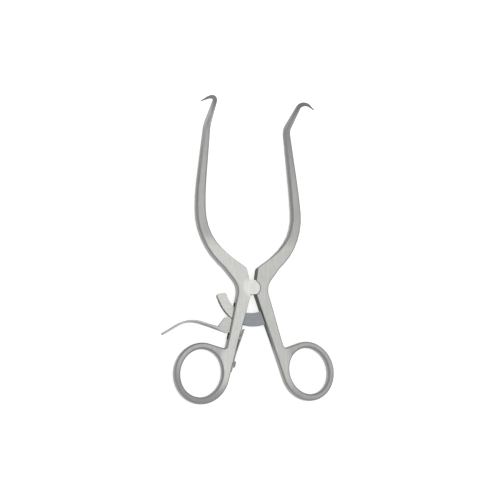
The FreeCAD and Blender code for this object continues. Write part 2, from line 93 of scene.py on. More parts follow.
def add(tree: bpy.types.NodeTree, kind: str, inputs: dict | None = None,
        **settings: object) -> bpy.types.Node:
    """Adds one node with its settings, socket values and incoming links.

    Args:
        tree: Tree that gets the node.
        kind: Blender's name of the node type.
        inputs: Input socket, by name or index, to its constant, to the output that feeds it, or
            to a list of outputs where the socket takes several.
        settings: Properties of the node itself.

    Returns:
        The new node.
    """
    node = tree.nodes.new(kind)
    for name, value in settings.items():
        setattr(node, name, value)
    for key, value in (inputs or {}).items():
        for feed in value if isinstance(value, list) else [value]:
            if isinstance(feed, bpy.types.NodeSocket):
                tree.links.new(feed, node.inputs[key])
            else:
                node.inputs[key].default_value = feed
    return node


def new_tree(name: str, sizes: dict[str, float | int]) -> bpy.types.GeometryNodeTree:
    """Starts a geometry tree whose inputs are named sizes and a material.

    Args:
        name: Name of the tree.
        sizes: Input name to its default, whole numbers for counts.

    Returns:
        The tree, with its sockets and no nodes.
    """
    tree = bpy.data.node_groups.new(name, "GeometryNodeTree")
    tree.interface.new_socket("Geometry", in_out="OUTPUT", socket_type="NodeSocketGeometry")
    for label, size in sizes.items():
        kind = "NodeSocketInt" if isinstance(size, int) else "NodeSocketFloat"
        socket = tree.interface.new_socket(label, in_out="INPUT", socket_type=kind)
        socket.default_value = size
    tree.interface.new_socket("Finish", in_out="INPUT", socket_type="NodeSocketMaterial")
    return tree


def grown(tree: bpy.types.GeometryNodeTree, name: str, sizes: dict[str, float | int],
          material: bpy.types.Material, sharp_degrees: float) -> bpy.types.Object:
    """Runs a geometry tree once and keeps its result as a plain mesh.

    Args:
        tree: Finished tree.
        name: Name of the piece.
        sizes: Values for the tree's named inputs.
        material: Finish, handed to the tree's last input.
        sharp_degrees: Edges that turn further than this stay crisp.

    Returns:
        The piece, with no modifier.
    """
    carrier = bpy.data.objects.new(name + "_carrier", bpy.data.meshes.new(name + "_carrier"))
    bpy.context.scene.collection.objects.link(carrier)
    modifier = carrier.modifiers.new("grow", "NODES")
    modifier.node_group = tree
    for socket in tree.interface.items_tree:
        if socket.in_out == "INPUT":
            modifier[socket.identifier] = sizes.get(socket.name, material)
    graph = bpy.context.evaluated_depsgraph_get()
    mesh = bpy.data.meshes.new_from_object(carrier.evaluated_get(graph), depsgraph=graph)
    carrier.modifiers.remove(modifier)
    bpy.data.objects.remove(carrier)
    weld(mesh, sharp_degrees, True)
    mesh.name = name
    piece = bpy.data.objects.new(name, mesh)
    bpy.context.scene.collection.objects.link(piece)
    return piece


def finished(tree: bpy.types.GeometryNodeTree, shape: bpy.types.NodeSocket,
             finish: bpy.types.NodeSocket) -> None:
    """Ends a geometry tree: instances made real, then the material.

    Args:
        tree: Tree that gets its last nodes.
        shape: Socket with the geometry.
        finish: Socket with the material.
    """
    real = add(tree, "GeometryNodeRealizeInstances", {0: shape}).outputs[0]
    done = add(tree, "GeometryNodeSetMaterial", {"Geometry": real, "Material": finish}).outputs[0]
    add(tree, "NodeGroupOutput", {0: done})


def weld(mesh: bpy.types.Mesh, sharp_degrees: float, outward: bool) -> None:
    """Merges doubled points, shades smooth and keeps the edges that turn sharply crisp.

    Args:
        mesh: Mesh that is changed.
        sharp_degrees: Edges that turn further than this stay crisp.
        outward: Whether the faces are also turned to point outwards.
    """
    work = bmesh.new()
    work.from_mesh(mesh)
    bmesh.ops.remove_doubles(work, verts=work.verts, dist=DOUBLED)
    bmesh.ops.dissolve_degenerate(work, edges=work.edges, dist=SLIVER)
    if outward:
        bmesh.ops.recalc_face_normals(work, faces=work.faces)
    for edge in work.edges:
        edge.smooth = edge.calc_face_angle(0.0) < math.radians(sharp_degrees)
    for face in work.faces:
        face.smooth = True
    work.to_mesh(mesh)
    work.free()


@dataclass(frozen=True)
class StainlessSteel:
    """Martensitic stainless steel, forged, hardened and given a satin finish.

    Broad faces are ground on a fine belt over a stretch of the piece and come out light. The
    rest is bead blasted, which scatters the light and reads as a mid grey. Edges and walls get
    painted shade as they turn from facing front or back, deepest on walls in the ground stretch.
    """

    name: str
    ground: str = "#c2c2bf"
    blasted: str = "#a6a7a4"
    # Painted shade: tones for edges and walls, which darken as they turn from facing front or back
    edge: str = "#858685"
    wall: str = "#565757"
    shaded_wall: str = "#969796"
    roughness: float = 0.29
    roughness_spread: float = 0.1
    ground_axis: str = "Y"
    ground_from_mm: float = -300.0
    ground_to_mm: float = 300.0
    fade_mm: float = 12.0
    grain: Grain = Grain.LENGTHWISE
    # Belt lines are about 0.05 mm apart; they are drawn this much coarser so that they show
    grain_width_mm: float = 0.6
    grain_length_mm: float = 11.0
    grain_depth_mm: float = 0.002
    grain_contrast: float = 0.36
    grain_octaves: float = 3.0
    grain_harshness: float = 0.6
    # Handling marks and uneven polish
    mottle_mm: float = 4.0
    mottle_contrast: float = 0.22
    mottle_octaves: float = 4.0
    mottle_harshness: float = 0.6
    # How squarely a surface faces front or back, from 0 to 1, where a wall passes into its
    # edge and where the edge passes into the face
    wall_to_edge: tuple[float, float] = (0.05, 0.4)
    edge_to_face: tuple[float, float] = (0.88, 0.995)

    def grain_scale(self) -> tuple[float, float, float]:
        """Works out how densely the grain lies in each direction.

        Returns:
            Noise cycles per metre along X, Y and Z.
        """
        fine = 1 / (self.grain_width_mm * MM)
        drawn_out = 1 / (self.grain_length_mm * MM)
        return {Grain.LENGTHWISE: (fine, drawn_out, fine), Grain.CROSSWISE: (drawn_out, fine, fine),
                Grain.TURNED: (fine, fine, fine)}[self.grain]

    def band(self, tree: bpy.types.NodeTree, value: bpy.types.NodeSocket, low_mm: float,
             high_mm: float) -> bpy.types.NodeSocket:
        """Share that is 1 between two places and fades out over a wheel's width beyond them.

        Args:
            tree: Tree of the material.
            value: Place in metres.
            low_mm: Lower end of the full band.
            high_mm: Upper end of the full band.

        Returns:
            Socket with the share.
        """
        low, high, fade = low_mm * MM, high_mm * MM, self.fade_mm * MM
        begin = add(tree, "ShaderNodeMapRange", {"Value": value, "From Min": low - fade, "From Max": low},
                    interpolation_type="SMOOTHSTEP").outputs[0]
        finish = add(tree, "ShaderNodeMapRange",
                     {"Value": value, "From Min": high, "From Max": high + fade,
                      "To Min": 1.0, "To Max": 0.0}, interpolation_type="SMOOTHSTEP").outputs[0]
        return add(tree, "ShaderNodeMath", {0: begin, 1: finish}, operation="MULTIPLY").outputs[0]

    def ground_share(self, tree: bpy.types.NodeTree, place: bpy.types.NodeSocket) -> bpy.types.NodeSocket:
        """How far a point's face is ground instead of blasted.

        Args:
            tree: Tree of the material.
            place: Object coordinates.

        Returns:
            Socket with the share.
        """
        where = add(tree, "ShaderNodeSeparateXYZ", {"Vector": place}).outputs
        return self.band(tree, where[self.ground_axis], self.ground_from_mm, self.ground_to_mm)

    def deep_shade_share(self, tree: bpy.types.NodeTree, place: bpy.types.NodeSocket,
                     normal: bpy.types.NodeSocket, stretch: bpy.types.NodeSocket) -> bpy.types.NodeSocket:
        """How far a point's wall takes the deeper painted shade: all round the ground stretch."""
        return stretch

    def face_colour(self, tree: bpy.types.NodeTree, place: bpy.types.NodeSocket,
                    stretch: bpy.types.NodeSocket) -> bpy.types.NodeSocket:
        """Colour of the broad faces.

        Args:
            tree: Tree of the material.
            place: Object coordinates; not used here.
            stretch: Share of grinding.

        Returns:
            Socket with the colour.
        """
        colours = {"Factor": stretch, "A": linear(self.blasted), "B": linear(self.ground)}
        return add(tree, "ShaderNodeMix", colours, data_type="RGBA").outputs["Result"]

    def last_coat(self, tree: bpy.types.NodeTree, place: bpy.types.NodeSocket,
                  skin: bpy.types.NodeSocket) -> bpy.types.NodeSocket:
        """Colour with what a special piece adds to it: nothing here."""
        return skin

    def skin(self, tree: bpy.types.NodeTree, place: bpy.types.NodeSocket,
             normal: bpy.types.NodeSocket) -> bpy.types.NodeSocket:
        """Colour by what a point lies on: a face, an edge or a wall, with painted shade on edges and walls.

        Args:
            tree: Tree of the material.
            place: Object coordinates.
            normal: Direction that the surface faces, in object space.

        Returns:
            Socket with the colour.
        """
        stretch = self.ground_share(tree, place)
        face = self.face_colour(tree, place, stretch)
        deep_shade = self.deep_shade_share(tree, place, normal, stretch)
        wall = add(tree, "ShaderNodeMix",
                   {"Factor": deep_shade, "A": linear(self.shaded_wall), "B": linear(self.wall)},
                   data_type="RGBA").outputs["Result"]
        # Painted shade: edges and walls darken as the surface turns from facing front or back
        facing = add(tree, "ShaderNodeSeparateXYZ", {"Vector": normal}).outputs["Z"]
        square = add(tree, "ShaderNodeMath", {0: facing}, operation="ABSOLUTE").outputs[0]
        off_wall = add(tree, "ShaderNodeMapRange",
                       {"Value": square, "From Min": self.wall_to_edge[0], "From Max": self.wall_to_edge[1]},
                       interpolation_type="SMOOTHSTEP").outputs[0]
        on_face = add(tree, "ShaderNodeMapRange",
                      {"Value": square, "From Min": self.edge_to_face[0], "From Max": self.edge_to_face[1]},
                      interpolation_type="SMOOTHSTEP").outputs[0]
        side = add(tree, "ShaderNodeMix", {"Factor": off_wall, "A": wall, "B": linear(self.edge)},
                   data_type="RGBA").outputs["Result"]
        whole = add(tree, "ShaderNodeMix", {"Factor": on_face, "A": side, "B": face},
                    data_type="RGBA").outputs["Result"]
        return self.last_coat(tree, place, whole)

    def build(self) -> bpy.types.Material:
        """Builds the material.

        Returns:
            A node material in Object coordinates.
        """
        material = bpy.data.materials.new(self.name)
        material.use_nodes = True
        tree = material.node_tree
        tree.nodes.clear()
        point = add(tree, "ShaderNodeTexCoord").outputs
        place = point["Object"]
        brushed = add(tree, "ShaderNodeMapping", {"Vector": place, "Scale": self.grain_scale()}).outputs[0]
        grain = add(tree, "ShaderNodeTexNoise",
                    {"Vector": brushed, "Scale": 1.0, "Detail": self.grain_octaves,
                     "Roughness": self.grain_harshness}).outputs["Fac"]
        patches = add(tree, "ShaderNodeTexNoise",
                      {"Vector": place, "Scale": 1 / (self.mottle_mm * MM), "Detail": self.mottle_octaves,
                       "Roughness": self.mottle_harshness}).outputs["Fac"]
        streak = add(tree, "ShaderNodeMath",
                     {0: grain, 1: self.grain_contrast, 2: 1.0 - self.grain_contrast / 2},
                     operation="MULTIPLY_ADD").outputs[0]
        uneven = add(tree, "ShaderNodeMath",
                     {0: patches, 1: self.mottle_contrast, 2: 1.0 - self.mottle_contrast / 2},
                     operation="MULTIPLY_ADD").outputs[0]
        marks = add(tree, "ShaderNodeMath", {0: streak, 1: uneven}, operation="MULTIPLY").outputs[0]
        skin = self.skin(tree, place, point["Normal"])
        colour = add(tree, "ShaderNodeVectorMath", {0: skin, 1: marks}, operation="MULTIPLY").outputs[0]
        rough = add(tree, "ShaderNodeMath", {0: patches, 1: self.roughness_spread, 2: self.roughness},
                    operation="MULTIPLY_ADD").outputs[0]
        relief = add(tree, "ShaderNodeBump",
                     {"Height": grain, "Distance": self.grain_depth_mm * MM}).outputs[0]
        shader = add(tree, "ShaderNodeBsdfPrincipled",
                     {"Base Color": colour, "Metallic": 1.0, "Roughness": rough, "Normal": relief}).outputs[0]
        add(tree, "ShaderNodeOutputMaterial", {"Surface": shader})
        return material


@dataclass(frozen=True)
class TurnedSteel(StainlessSteel):
    """Steel of the pins and the screw: a cutting tool leaves softer marks than a belt."""

    grain: Grain = Grain.TURNED
    grain_octaves: float = 2.0
    grain_harshness: float = 0.5


@dataclass(frozen=True)
class ForgedArmSteel(StainlessSteel):
    """Steel of the arms, ground on the flats of the box lap and the shanks.

    The rings and the slim arms are only blasted, so they read as a mid grey. The lap is the
    lightest place. The prongs take one even tone as they rise, in place of the painted shade of
    their tilted faces, and their hooks are darker still, with height.
    """

    # Stretch of grinding along Y: both shoulders, the lap and the shanks
    ground_from_mm: float = -56.0
    ground_to_mm: float = 24.0
    # Down the shanks it ends at this depth behind their inner faces, where the rings begin
    shank_lean: float = 17.1
    shank_depth_mm: float = 7.6
    shank_top_mm: float = -14.0
    ring_fade_mm: float = 4.0
    # Painted shade: walls that face the other arm are darkened above this place, and where the outward
    #     part of their normal lies below the first of two limits; at the second limit the painted shade has
    #     ended
    wall: str = "#3c3d3e"
    deep_shade_from_mm: float = -32.0
    deep_shade_facing: tuple[float, float] = (-0.7, -0.2)
    # Round flat of the lap about the pivot, and the painted shadow along its rim over the other arm
    lap: str = "#d5d4d1"
    lap_radius_mm: float = 5.0
    lap_fade_mm: float = 3.0
    lap_shadow_mm: float = 0.0
    lap_shadow_side_mm: float = 2.0
    # The rings darken along Y, and the prongs and their hooks with height
    ring: str = "#8c8d8c"
    ring_from_mm: float = -46.0
    ring_to_mm: float = -57.0
    prong: str = "#9e9f9d"
    prong_from_mm: float = 5.7
    prong_to_mm: float = 8.0
    hook: str = "#7b7c7b"
    hook_from_mm: float = 19.0
    hook_to_mm: float = 27.0

    def ground_share(self, tree: bpy.types.NodeTree, place: bpy.types.NodeSocket) -> bpy.types.NodeSocket:
        """Share of grinding: by the place along Y, and below the lap by the depth in the shank.

        Args:
            tree: Tree of the material.
            place: Object coordinates.

        Returns:
            Socket with the share.
        """
        where = add(tree, "ShaderNodeSeparateXYZ", {"Vector": place}).outputs
        along = self.band(tree, where["Y"], self.ground_from_mm, self.ground_to_mm)
        lean = math.radians(self.shank_lean)
        side = add(tree, "ShaderNodeMath", {0: where["X"]}, operation="ABSOLUTE").outputs[0]
        out = add(tree, "ShaderNodeMath", {0: side, 1: math.cos(lean)}, operation="MULTIPLY").outputs[0]
        depth = add(tree, "ShaderNodeMath", {0: where["Y"], 1: math.sin(lean), 2: out},
                    operation="MULTIPLY_ADD").outputs[0]
        edge, top = self.shank_depth_mm * MM, self.shank_top_mm * MM
        shank = add(tree, "ShaderNodeMapRange",
                    {"Value": depth, "From Min": edge, "From Max": edge + self.ring_fade_mm * MM,
                     "To Min": 1.0, "To Max": 0.0}, interpolation_type="SMOOTHSTEP").outputs[0]
        above = add(tree, "ShaderNodeMapRange",
                    {"Value": where["Y"], "From Min": top - self.fade_mm * MM, "From Max": top},
                    interpolation_type="SMOOTHSTEP").outputs[0]
        kept = add(tree, "ShaderNodeMath", {0: shank, 1: above}, operation="MAXIMUM").outputs[0]
        return add(tree, "ShaderNodeMath", {0: along, 1: kept}, operation="MULTIPLY").outputs[0]

    def deep_shade_share(self, tree: bpy.types.NodeTree, place: bpy.types.NodeSocket,
                     normal: bpy.types.NodeSocket, stretch: bpy.types.NodeSocket) -> bpy.types.NodeSocket:
        """Share of the deeper painted shade: only on walls that face the other arm, above the rings.

        Args:
            tree: Tree of the material.
            place: Object coordinates.
            normal: Direction that the surface faces.
            stretch: Share of grinding.

        Returns:
            Socket with the share.
        """
        where = add(tree, "ShaderNodeSeparateXYZ", {"Vector": place}).outputs
        facing = add(tree, "ShaderNodeSeparateXYZ", {"Vector": normal}).outputs["X"]
        side = add(tree, "ShaderNodeMath", {0: where["X"]}, operation="SIGN").outputs[0]
        away = add(tree, "ShaderNodeMath", {0: side, 1: facing}, operation="MULTIPLY").outputs[0]
        inward = add(tree, "ShaderNodeMapRange",
                     {"Value": away, "From Min": self.deep_shade_facing[0], "From Max": self.deep_shade_facing[1],
                      "To Min": 1.0, "To Max": 0.0}).outputs[0]
        low = self.deep_shade_from_mm * MM
        above = add(tree, "ShaderNodeMapRange",
                    {"Value": where["Y"], "From Min": low - self.fade_mm * MM, "From Max": low},
                    interpolation_type="SMOOTHSTEP").outputs[0]
        inner = add(tree, "ShaderNodeMath", {0: inward, 1: stretch}, operation="MULTIPLY").outputs[0]
        return add(tree, "ShaderNodeMath", {0: inner, 1: above}, operation="MULTIPLY").outputs[0]

    def face_colour(self, tree: bpy.types.NodeTree, place: bpy.types.NodeSocket,
                    stretch: bpy.types.NodeSocket) -> bpy.types.NodeSocket:
        """Colour of the broad faces, darker down the rings and lightest on the lap, with a painted shadow
        along the lap's rim where set.

        Args:
            tree: Tree of the material.
            place: Object coordinates.
            stretch: Share of grinding.

        Returns:
            Socket with the colour.
        """
        where = add(tree, "ShaderNodeSeparateXYZ", {"Vector": place}).outputs
        down = add(tree, "ShaderNodeMapRange",
                   {"Value": where["Y"], "From Min": self.ring_from_mm * MM,
                    "From Max": self.ring_to_mm * MM}).outputs[0]
        blasted = add(tree, "ShaderNodeMix",
                      {"Factor": down, "A": linear(self.blasted), "B": linear(self.ring)},
                      data_type="RGBA").outputs["Result"]
        usual = add(tree, "ShaderNodeMix", {"Factor": stretch, "A": blasted, "B": linear(self.ground)},
                    data_type="RGBA").outputs["Result"]
        plan = add(tree, "ShaderNodeVectorMath", {0: place, 1: (1.0, 1.0, 0.0)}, operation="MULTIPLY")
        away = add(tree, "ShaderNodeVectorMath", {0: plan.outputs[0]}, operation="LENGTH").outputs["Value"]
        edge = self.lap_radius_mm * MM
        near = add(tree, "ShaderNodeMapRange",
                   {"Value": away, "From Min": edge, "From Max": edge + self.lap_fade_mm * MM,
                    "To Min": 1.0, "To Max": 0.0}, interpolation_type="SMOOTHSTEP").outputs[0]
        bright = add(tree, "ShaderNodeMix", {"Factor": near, "A": usual, "B": linear(self.lap)},
                     data_type="RGBA").outputs["Result"]
        if not self.lap_shadow_mm:
            return bright
        # Painted shadow: the rim of the lap over the other arm is darkened to the edge tone
        rim = add(tree, "ShaderNodeMapRange",
                  {"Value": away, "From Min": edge - self.lap_shadow_mm * MM,
                   "From Max": edge - self.lap_shadow_mm * MM / 2}).outputs[0]
        over = add(tree, "ShaderNodeMath", {0: where["X"], 1: self.lap_shadow_side_mm * MM},
                   operation="GREATER_THAN").outputs[0]
        rim_shadow = add(tree, "ShaderNodeMath", {0: rim, 1: over}, operation="MULTIPLY").outputs[0]
        return add(tree, "ShaderNodeMix", {"Factor": rim_shadow, "A": bright, "B": linear(self.edge)},
                   data_type="RGBA").outputs["Result"]

    def last_coat(self, tree: bpy.types.NodeTree, place: bpy.types.NodeSocket,
                  skin: bpy.types.NodeSocket) -> bpy.types.NodeSocket:
        """Evens the tone where the prongs rise, and darkens their hooks.

        Args:
            tree: Tree of the material.
            place: Object coordinates.
            skin: Colour so far.

        Returns:
            Socket with the colour.
        """
        height = add(tree, "ShaderNodeSeparateXYZ", {"Vector": place}).outputs["Z"]
        for low_mm, high_mm, tone in ((self.prong_from_mm, self.prong_to_mm, self.prong),
                                      (self.hook_from_mm, self.hook_to_mm, self.hook)):
            risen = add(tree, "ShaderNodeMapRange",
                        {"Value": height, "From Min": low_mm * MM, "From Max": high_mm * MM}).outputs[0]
            skin = add(tree, "ShaderNodeMix", {"Factor": risen, "A": skin, "B": linear(tone)},
                       data_type="RGBA").outputs["Result"]
        return skin


@dataclass
class Dressed:
    """A CAD node's own shape, merged and shaded smooth, in its finish."""

    node: str
    body: Body
    slot: str
    sharp_degrees: float = 40.0
    # How far broad faces lead the shading normals over narrow ones, from 1 to 100
    face_lead: int = 60

    def build(self, material: bpy.types.Material) -> bpy.types.Object:
        """Copies the node, welds its triangles and hangs it on its body.

        Args:
            material: Finish of the whole piece.

        Returns:
            The piece that stands for the node.
        """
        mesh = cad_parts[self.node].data.copy()
        mesh.name = self.node + "_piece"
        weld(mesh, self.sharp_degrees, False)
        mesh.materials.clear()
        mesh.materials.append(material)
        piece = bpy.data.objects.new(self.node + "_piece", mesh)
        bpy.context.scene.collection.objects.link(piece)
        weighted = piece.modifiers.new("faces_lead", "WEIGHTED_NORMAL")
        weighted.keep_sharp = True
        weighted.mode = "FACE_AREA"
        weighted.weight = self.face_lead
        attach(piece, self.body.value)
        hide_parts(self.node)
        LOG.info("%s: %d faces", piece.name, len(mesh.polygons))
        return piece


@dataclass
class Arms:
    """Both forged arms, with their shanks, lap halves and finger rings."""

    # The left half of the lap lies in front, so it gets a painted shadow along its rim
    left_finish: ForgedArmSteel = ForgedArmSteel("satin_forged_stainless", lap_shadow_mm=0.7)
    # Painted shade: a darker copy of the arm steel, for the dimmer light on the right arm's flats
    right_shaded_finish: ForgedArmSteel = ForgedArmSteel(
        "shaded_forged_stainless", ground="#b7b7b4", blasted="#a3a4a1", lap="#bababa", ring="#9b9c9b",
        prong="#8a8b8a", hook="#747574")

    def build(self) -> list[bpy.types.Object]:
        """Dresses the left and the right arm.

        Returns:
            Both pieces.
        """
        return [Dressed("left_arm", Body.LEFT, "satin_steel").build(self.left_finish.build()),
                Dressed("right_arm", Body.RIGHT, "satin_steel").build(self.right_shaded_finish.build())]


@dataclass
class Pins:
    """Pivot pin, lever pin and the rivets of the bar, riveted over and ground flush.

    Each was ground together with the arm round it, so it takes that face's tone and hardly shows.
    """

    pivot: TurnedSteel = TurnedSteel("turned_pivot_stainless", ground="#d3d2cf")
    small: TurnedSteel = TurnedSteel("turned_pin_stainless", ground="#bebebb")
    # The rivets sit in the right arm, so they share its painted shade
    rivet: TurnedSteel = TurnedSteel("turned_rivet_stainless", ground="#b2b2b0")

    def build(self) -> list[bpy.types.Object]:
        """Dresses each pin.

        Returns:
            One piece for each node of pins.
        """
        return [Dressed("pivot_pin", Body.LEFT, "turned_steel").build(self.pivot.build()),
                Dressed("lever_pin", Body.LEFT, "turned_steel").build(self.small.build()),
                Dressed("bar_rivets", Body.RIGHT, "turned_steel").build(self.rivet.build())]


@dataclass
class RatchetBar:
    """Toothed bar: a strip between two round edges, and one wedge repeated for its teeth.

    Angles are in degrees, measured down from -X round the pivot.
    """

    # What the tree works out. Each entry is a name, an operation and its terms; a term is an
    # input of the tree, a field that reckoned() names, or an entry further up
    SUMS: ClassVar[tuple[tuple[str, ...], ...]] = (
        # Strip: columns run from the free end to the tang, rows from the inner to the outer edge
        ("across", "ADD", "Columns", "1"), ("share", "ADD", "along", "half"),
        ("row", "ADD", "outward", "half"), ("span", "SUBTRACT", "Tang End", "Free End"),
        ("swing", "MULTIPLY", "span", "share"), ("angle", "ADD", "Free End", "swing"),
        # Full radius before the first tooth and past the last one
        ("toothing", "MULTIPLY", "Tooth Pitch", "Tooth Count"), ("last", "ADD", "Tooth First", "toothing"),
        ("past first", "GREATER_THAN", "angle", "Tooth First"), ("before last", "LESS_THAN", "angle", "last"),
        ("toothed", "MULTIPLY", "past first", "before last"), ("plain", "SUBTRACT", "1", "toothed"),
        ("crest", "MULTIPLY", "plain", "Tooth Depth"), ("full", "ADD", "Root Radius", "crest"),
        # The inner edge is round about a centre of its own, so its radius from the pivot varies
        ("cosine", "COSINE", "angle"), ("sine", "SINE", "angle"),
        ("cosine left", "MULTIPLY", "cosine", "Inner Left"), ("sine up", "MULTIPLY", "sine", "Inner Up"),
        ("toward", "SUBTRACT", "cosine left", "sine up"), ("toward two", "MULTIPLY", "toward", "toward"),
        ("left two", "MULTIPLY", "Inner Left", "Inner Left"), ("up two", "MULTIPLY", "Inner Up", "Inner Up"),
        ("offset two", "ADD", "left two", "up two"),
        ("inner two", "MULTIPLY", "Inner Radius", "Inner Radius"),
        ("reach two", "SUBTRACT", "inner two", "offset two"),
        ("under root", "ADD", "toward two", "reach two"),
        ("root", "SQRT", "under root"), ("even inner", "ADD", "toward", "root"),
        # The bar broadens inwards towards its free end
        ("gone", "DIVIDE", "swing", "Widening Reach"), ("to go", "SUBTRACT", "1", "gone"),
        ("ease", "MAXIMUM", "to go", "0"), ("extra", "MULTIPLY", "ease", "End Widening"),
        ("bare inner", "SUBTRACT", "even inner", "extra"),
        # Both corners of the free end are rounded
        ("run", "MULTIPLY", "swing", "Root Radius"), ("left over", "SUBTRACT", "Corner", "run"),
        ("short", "MAXIMUM", "left over", "0"), ("short two", "MULTIPLY", "short", "short"),
        ("corner two", "MULTIPLY", "Corner", "Corner"), ("chord two", "SUBTRACT", "corner two", "short two"),
        ("safe two", "MAXIMUM", "chord two", "0"), ("chord", "SQRT", "safe two"),
        ("cut", "SUBTRACT", "Corner", "chord"), ("outer", "SUBTRACT", "full", "cut"),
        ("inner", "ADD", "bare inner", "cut"), ("width", "SUBTRACT", "outer", "inner"),
        ("part", "MULTIPLY", "width", "row"), ("radius", "ADD", "inner", "part"),
        ("minus radius", "MULTIPLY", "radius", "-1"),
        ("strip x", "MULTIPLY", "cosine", "minus radius"), ("strip y", "MULTIPLY", "sine", "minus radius"),
        # One tooth: a steep face towards the tang and a slope towards the free end
        ("past corner", "GREATER_THAN", "number", "half"),
        ("corner turn", "MULTIPLY", "past corner", "Tooth Pitch"), ("is crest", "COMPARE", "number", "1"),
        ("foot", "SUBTRACT", "Root Radius", "Sink"), ("tall", "ADD", "Tooth Depth", "Sink"),
        ("lift", "MULTIPLY", "is crest", "tall"), ("corner radius", "ADD", "foot", "lift"),
        ("minus corner", "MULTIPLY", "corner radius", "-1"),
        ("corner cosine", "COSINE", "corner turn"), ("corner sine", "SINE", "corner turn"),
        ("wedge x", "MULTIPLY", "corner cosine", "minus corner"),
        ("wedge y", "MULTIPLY", "corner sine", "minus corner"),
        # Each tooth is that wedge, turned round the pivot
        ("step", "MULTIPLY", "number", "Tooth Pitch"), ("turn", "ADD", "Tooth First", "step"))

    root_radius_mm: float = 23.95
    tooth_depth_mm: float = 0.45
    tooth_pitch: float = 2.5
    tooth_first: float = 17.0
    tooth_count: int = 26
    inner_radius_mm: float = 18.7
    inner_left_mm: float = 2.0
    inner_up_mm: float = 2.7
    low_mm: float = 1.5
    thickness_mm: float = 2.6
    free_end: float = 9.3
    tang_end: float = 120.0
    corner_mm: float = 1.8
    end_widening_mm: float = 1.9
    widening_reach: float = 34.0
    columns: int = 444
    sink_mm: float = 0.02
    sharp_degrees: float = 20.0
    # The photo shows the bar bright at its free end, out from X = -16 mm, and dull between the arms
    # Painted shade: the darker, bluer blasted tones stand in for the shade between the arms
    finish: StainlessSteel = StainlessSteel(
        "brushed_bar_stainless", ground="#c4c4c0", blasted="#898c90", edge="#8a8d90", wall="#5a5c5f",
        grain=Grain.CROSSWISE, roughness=0.27, ground_axis="X", ground_to_mm=-16.0, fade_mm=6.0)

    def sizes(self) -> dict[str, float | int]:
        """Gathers the values of the tree's inputs.

        Returns:
            Input name to its value, in metres and radians.
        """
        return {
            "Root Radius": self.root_radius_mm * MM,
            "Tooth Depth": self.tooth_depth_mm * MM,
            "Tooth Pitch": math.radians(self.tooth_pitch),
            "Tooth First": math.radians(self.tooth_first),
            "Tooth Count": self.tooth_count,
            "Inner Radius": self.inner_radius_mm * MM,
            "Inner Left": self.inner_left_mm * MM,
            "Inner Up": self.inner_up_mm * MM,
            "Low": self.low_mm * MM,
            "Thickness": self.thickness_mm * MM,
            "Free End": math.radians(self.free_end),
            "Tang End": math.radians(self.tang_end),
            "Corner": self.corner_mm * MM,
            "End Widening": self.end_widening_mm * MM,
            "Widening Reach": math.radians(self.widening_reach),
            "Columns": self.columns,
            "Sink": self.sink_mm * MM,
        }

    def reckoned(self, tree: bpy.types.GeometryNodeTree,
                 given: dict[str, bpy.types.NodeSocket]) -> dict[str, float | bpy.types.NodeSocket]:
        """Works out the whole table of sums.

        Args:
            tree: Tree that gets the nodes.
            given: Inputs of the tree by name.

        Returns:
            Every name to the socket or constant that holds it.
        """
        spot = add(tree, "GeometryNodeInputPosition").outputs[0]
        place = add(tree, "ShaderNodeSeparateXYZ", {0: spot}).outputs
        known = {"1": 1.0, "0": 0.0, "half": 0.5, "-1": -1.0, "along": place["X"], "outward": place["Y"],
                 "number": add(tree, "GeometryNodeInputIndex").outputs[0], **given}
        for name, operation, *terms in self.SUMS:
            sides = {side: known[term] for side, term in enumerate(terms)}
            known[name] = add(tree, "ShaderNodeMath", sides, operation=operation).outputs[0]
        return known

    def shaped(self, tree: bpy.types.GeometryNodeTree, known: dict[str, float | bpy.types.NodeSocket],
               form: str, flat: bpy.types.NodeSocket) -> bpy.types.NodeSocket:
        """Lays a flat mesh out as the strip or the wedge and raises it by the bar's thickness.

        Args:
            tree: Tree that gets the nodes.
            known: Every sum by its name.
            form: Either "strip" or "wedge".
            flat: Socket with the mesh.

        Returns:
            Socket with the closed plate.
        """
        place = add(tree, "ShaderNodeCombineXYZ",
                    {"X": known[form + " x"], "Y": known[form + " y"], "Z": known["Low"]}).outputs[0]
        laid = add(tree, "GeometryNodeSetPosition", {"Geometry": flat, "Position": place}).outputs[0]
        rise = add(tree, "ShaderNodeCombineXYZ", {"Z": known["Thickness"]}).outputs[0]
        raised = add(tree, "GeometryNodeExtrudeMesh",
                     {"Mesh": laid, "Offset": rise, "Offset Scale": 1.0, "Individual": False},
                     mode="FACES").outputs["Mesh"]
        underside = add(tree, "GeometryNodeFlipFaces", {"Mesh": laid}).outputs["Mesh"]
        return add(tree, "GeometryNodeJoinGeometry", {0: [raised, underside]}).outputs[0]

    def tree(self) -> bpy.types.GeometryNodeTree:
        """Builds the tree that grows the bar.

        Returns:
            A tree with the bar's sizes as inputs.
        """
        tree = new_tree("ratchet_bar_growth", self.sizes())
        given = add(tree, "NodeGroupInput").outputs
        known = self.reckoned(tree, {label: given[label] for label in self.sizes()})
        grid = add(tree, "GeometryNodeMeshGrid",
                   {"Size X": 1.0, "Size Y": 1.0, "Vertices X": known["across"],
                    "Vertices Y": 2}).outputs["Mesh"]
        strip = self.shaped(tree, known, "strip", grid)
        triangle = add(tree, "GeometryNodeMeshCircle", {"Vertices": 3}, fill_type="NGON").outputs[0]
        wedge = self.shaped(tree, known, "wedge", triangle)
